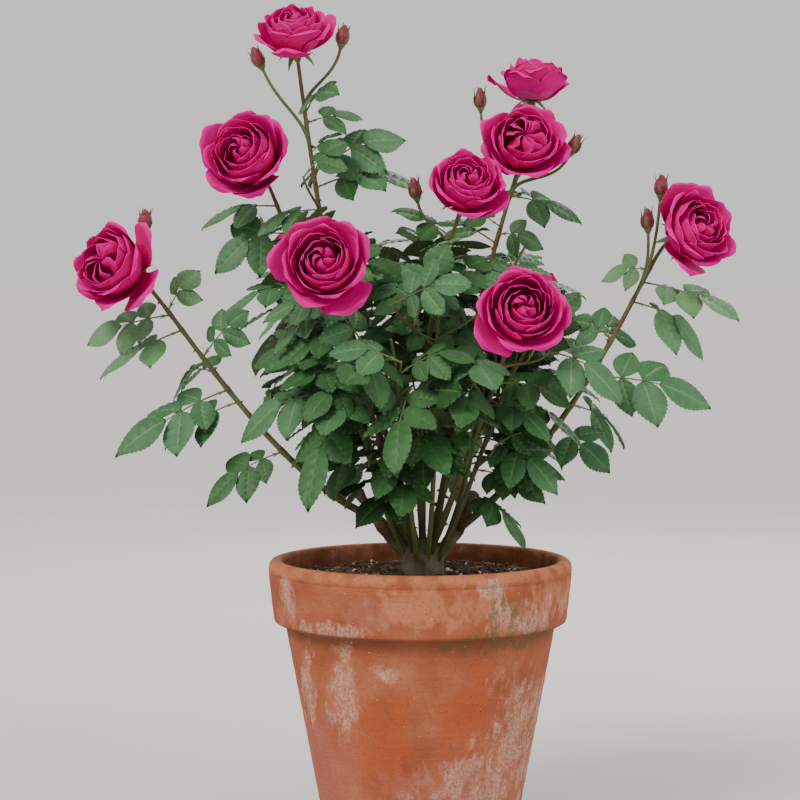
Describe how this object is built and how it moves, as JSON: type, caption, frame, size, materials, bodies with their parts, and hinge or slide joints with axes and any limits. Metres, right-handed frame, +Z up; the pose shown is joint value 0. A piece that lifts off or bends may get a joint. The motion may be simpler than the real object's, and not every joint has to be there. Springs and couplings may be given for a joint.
{
  "type": "potted rose bush",
  "caption": "Rose bush in bloom, growing from a graft union in a filled terracotta pot that stands on its flat underside.",
  "frame": {"origin": "centre of the pot's flat underside", "axes": "+Z up, +X to the right and +Y away from the viewer as the bush is seen from its front"},
  "size_m": [0.6437, 0.4347, 0.8279],
  "materials": {
    "terracotta": "matte",
    "compost": "matte",
    "old_wood": "matte",
    "green_wood": "satin",
    "petals": "satin",
    "foliage": "satin"
  },
  "bodies": {
    "root": {"pot": "terracotta", "soil": "compost", "graft_union": "old_wood", "cane_left": "green_wood", "cane_right": "green_wood", "cane_tall": "green_wood", "cane_upper_left": "green_wood", "cane_front_left": "green_wood", "cane_centre": "green_wood", "cane_upper_right": "green_wood", "cane_front_right": "green_wood", "cane_back_left": "green_wood", "cane_back_right": "green_wood", "bloom_top": "petals", "bloom_upper_left": "petals", "bloom_left": "petals", "bloom_front_left": "petals", "bloom_centre": "petals", "bloom_upper_right": "petals", "bloom_high_right": "petals", "bloom_front_right": "petals", "bloom_right": "petals", "bloom_back_left": "petals", "bloom_back_right": "petals", "leaves_left": "foliage", "leaves_right": "foliage", "leaves_tall": "foliage", "leaves_upper_left": "foliage", "leaves_front_left": "foliage", "leaves_centre": "foliage", "leaves_upper_right": "foliage", "leaves_front_right": "foliage", "leaves_back_left": "foliage", "leaves_back_right": "foliage", "leaves_core_front_left": "foliage", "leaves_core_front": "foliage", "leaves_core_front_right": "foliage", "leaves_core_right": "foliage", "leaves_core_back": "foliage", "leaves_core_back_left": "foliage", "leaves_core_left": "foliage"}
  },
  "joints": []
}
